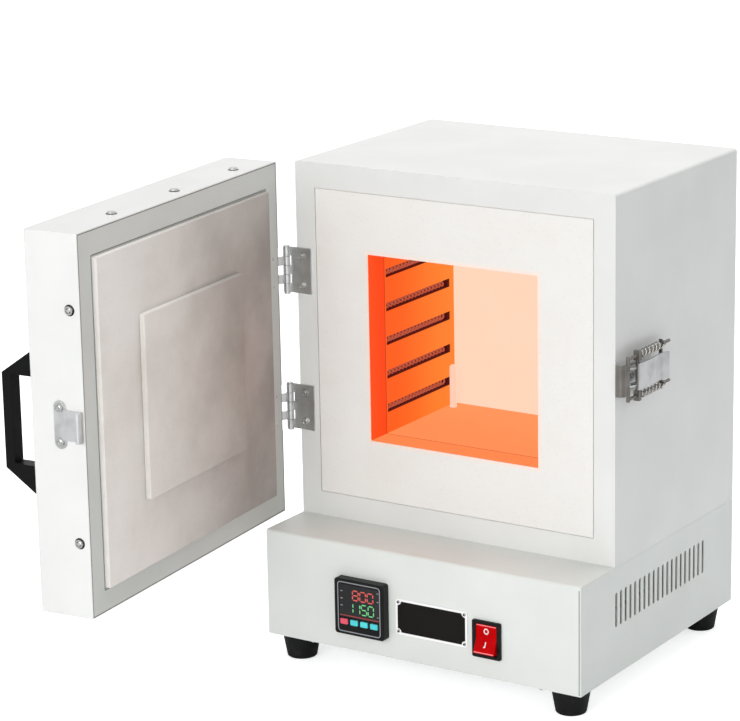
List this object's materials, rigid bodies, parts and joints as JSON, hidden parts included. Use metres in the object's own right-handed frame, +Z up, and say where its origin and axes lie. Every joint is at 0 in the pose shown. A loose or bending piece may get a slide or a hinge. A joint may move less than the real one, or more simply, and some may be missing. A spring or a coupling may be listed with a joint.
{
  "type": "jewellery kiln",
  "caption": "Bench-top electric jewellery kiln: sheet-metal cabinet with a fibre-lined heated chamber, side-hinged door, sprung side latch and a control base on rubber feet.",
  "frame": {"origin": "on the bench, under the middle of the control base's footprint", "axes": "+X to the viewer's right, +Y towards the back, +Z up; door swung open about its left edge"},
  "size_m": [0.3802, 0.5331, 0.4198],
  "materials": {
    "shell": "warm white powder coat, satin",
    "shell_base": "pale grey powder coat, satin",
    "inner_frame": "light grey-green paint, satin",
    "fibre": "rigid fibre board, matt",
    "muffle": "fibre slab glowing at working heat, matt",
    "blanket": "soft fibre blanket, matt",
    "coil": "resistance wire, oxidised",
    "ceramic": "off-white ceramic",
    "stainless": "stainless, fine brushed",
    "dark_steel": "darker plated steel",
    "fastener": "bright zinc",
    "black_paint": "black, satin",
    "black_plastic": "black moulded",
    "lens": "black display window",
    "key_red": "pink-red key",
    "key_blue": "cyan key",
    "rubber": "black rubber",
    "rocker": "red translucent rocker",
    "plate": "printed plate, bare",
    "zinc": "galvanised inner sheet",
    "heat_sink": "extruded",
    "wire": "insulated wire"
  },
  "bodies": {
    "kiln": {"cabinet_wrap": "shell", "cabinet_floor": "zinc", "rear_cover": "shell", "cabinet_screws": "fastener", "front_board": "fibre", "muffle_left": "muffle", "muffle_right": "muffle", "muffle_roof": "muffle", "hearth": "muffle", "muffle_back": "muffle", "blanket_wrap": "blanket", "blanket_back": "blanket", "heating_coil_left": "coil", "heating_coil_right": "coil", "element_leads": "coil", "thermocouple_sheath": "ceramic", "thermocouple_head": "black_plastic", "hinge_leaf_cabinet_upper": "stainless", "hinge_leaf_cabinet_lower": "stainless", "hinge_pins": "stainless", "hinge_screws": "fastener", "latch_bracket": "stainless", "latch_rivets": "fastener", "latch_pin": "stainless", "base_cover": "shell_base", "base_tray": "shell_base", "base_screws": "fastener", "foot_front_left": "rubber", "foot_front_right": "rubber", "foot_rear_left": "rubber", "foot_rear_right": "rubber", "foot_screws": "fastener", "controller_case": "black_plastic", "controller_lens": "lens", "name_plate": "plate", "switch_housing": "black_plastic", "power_inlet": "black_plastic", "power_unit": "heat_sink", "wiring": "wire"},
    "door": {"door_pan": "shell", "door_frame": "inner_frame", "door_board": "fibre", "door_plug": "fibre", "door_blanket": "blanket", "door_screws": "fastener", "door_handle": "black_paint", "latch_keeper": "stainless", "keeper_screws": "fastener", "hinge_leaf_door_upper": "stainless", "hinge_leaf_door_lower": "stainless", "hinge_rivets": "fastener"},
    "lever": {"latch_lever": "stainless"},
    "yoke": {"latch_yoke": "dark_steel", "latch_springs": "stainless"},
    "claw": {"latch_claw": "dark_steel"},
    "key_set": {"key_set": "key_red"},
    "key_shift": {"key_shift": "key_blue"},
    "key_down": {"key_down": "key_blue"},
    "key_up": {"key_up": "key_blue"},
    "rocker": {"switch_rocker": "rocker"}
  },
  "joints": [
    {"name": "door_hinge", "type": "hinge", "parent": "kiln", "child": "door", "pos_m": [-0.1585, -0.081, 0.266], "axis": [0, 0, -1], "range_deg": [-85, 75]},
    {"name": "latch_lever_hinge", "type": "hinge", "parent": "kiln", "child": "lever", "pos_m": [0.1545, -0.066, 0.269], "axis": [0, 0, -1], "range_deg": [0, 120]},
    {"name": "latch_yoke_hinge", "type": "hinge", "parent": "lever", "child": "yoke", "pos_m": [0.158, -0.056, 0.269], "axis": [0, 0, -1], "range_deg": [-120, 0]},
    {"name": "latch_claw_slide", "type": "slide", "parent": "yoke", "child": "claw", "axis": [0, -1, 0], "range_m": [0, 0.01], "stiffness_N_per_m": 1500, "deforming": ["latch_springs"]},
    {"name": "key_set_press", "type": "slide", "parent": "kiln", "child": "key_set", "axis": [0, 1, 0], "range_m": [0, 0.0005], "stiffness_N_per_m": 400},
    {"name": "key_shift_press", "type": "slide", "parent": "kiln", "child": "key_shift", "axis": [0, 1, 0], "range_m": [0, 0.0005], "stiffness_N_per_m": 400},
    {"name": "key_down_press", "type": "slide", "parent": "kiln", "child": "key_down", "axis": [0, 1, 0], "range_m": [0, 0.0005], "stiffness_N_per_m": 400},
    {"name": "key_up_press", "type": "slide", "parent": "kiln", "child": "key_up", "axis": [0, 1, 0], "range_m": [0, 0.0005], "stiffness_N_per_m": 400},
    {"name": "rocker_hinge", "type": "hinge", "parent": "kiln", "child": "rocker", "pos_m": [0.0643, -0.1336, 0.0552], "axis": [1, 0, 0], "range_deg": [0, 24]}
  ],
  "couplings": [
    {"joint": "latch_yoke_hinge", "follows": "latch_lever_hinge", "ratio": -1}
  ]
}
